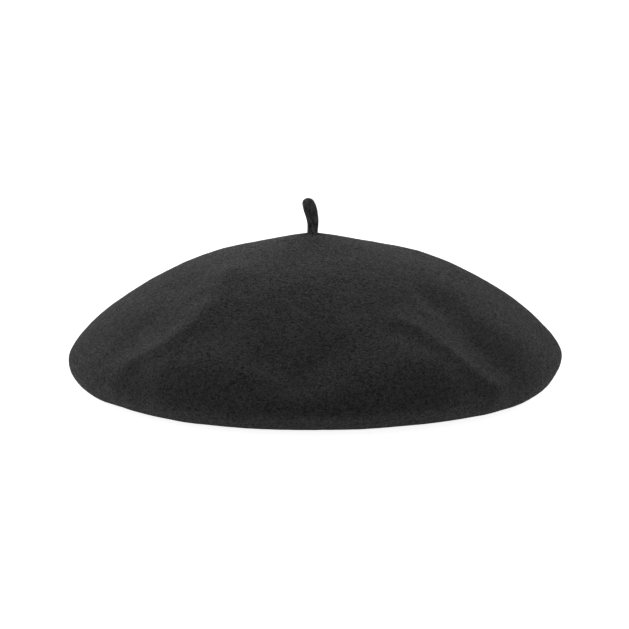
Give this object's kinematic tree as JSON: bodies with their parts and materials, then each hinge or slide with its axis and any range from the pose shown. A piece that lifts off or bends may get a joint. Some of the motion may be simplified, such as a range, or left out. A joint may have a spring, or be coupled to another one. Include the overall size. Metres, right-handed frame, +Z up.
{
  "type": "beret",
  "caption": "Round one-piece wool felt beret with a short felt stalk, a leather head band and a loose satin lining.",
  "frame": {"origin": "centre of the head opening, on the plane the beret rests on", "axes": "+Z up towards the stalk, -Y is the front of the head opening, +Y is the back, where the head band's ends meet"},
  "size_m": [0.28, 0.28, 0.1108],
  "materials": {
    "felt": "fulled wool with a short nap",
    "leather": "smooth grain, satin",
    "satin": "satin weave with a soft sheen",
    "tape": "plain woven cotton",
    "thread": "twisted polyester thread",
    "label": "blank woven ribbon"
  },
  "bodies": {
    "shell": {"crown_felt": "felt", "sweatband": "leather", "sweatband_stitching": "thread", "back_seam_tape": "tape", "back_seam_stitching": "thread", "lining": "satin", "lining_stitching": "thread", "size_label_tack": "thread", "care_label_tack": "thread"},
    "crown_top": {"stalk_knot": "felt", "stalk_tack_thread": "thread"},
    "stalk_root": {"stalk_root": "felt"},
    "stalk": {"stalk": "felt"},
    "size_label": {"size_label": "label"},
    "care_label": {"care_label": "label"}
  },
  "joints": [
    {"name": "crown_press", "type": "slide", "parent": "shell", "child": "crown_top", "axis": [0, 0, -1], "range_m": [0, 0.04475], "stiffness_N_per_m": 5, "deforming": ["crown_felt", "lining"]},
    {"name": "stalk_sway", "type": "hinge", "parent": "crown_top", "child": "stalk_root", "pos_m": [0, 0, 0.0892], "axis": [0, 1, 0], "range_deg": [-60, 60]},
    {"name": "stalk_nod", "type": "hinge", "parent": "stalk_root", "child": "stalk", "pos_m": [0, 0, 0.0892], "axis": [1, 0, 0], "range_deg": [-60, 60]},
    {"name": "size_label_flap", "type": "hinge", "parent": "shell", "child": "size_label", "pos_m": [0.02871, 0.08837, 0.0112], "axis": [-0.9511, 0.309, 0], "range_deg": [0, 60]},
    {"name": "care_label_flap", "type": "hinge", "parent": "shell", "child": "care_label", "pos_m": [0.06217, 0.06905, 0.0112], "axis": [-0.7431, 0.6691, 0], "range_deg": [0, 60]}
  ]
}
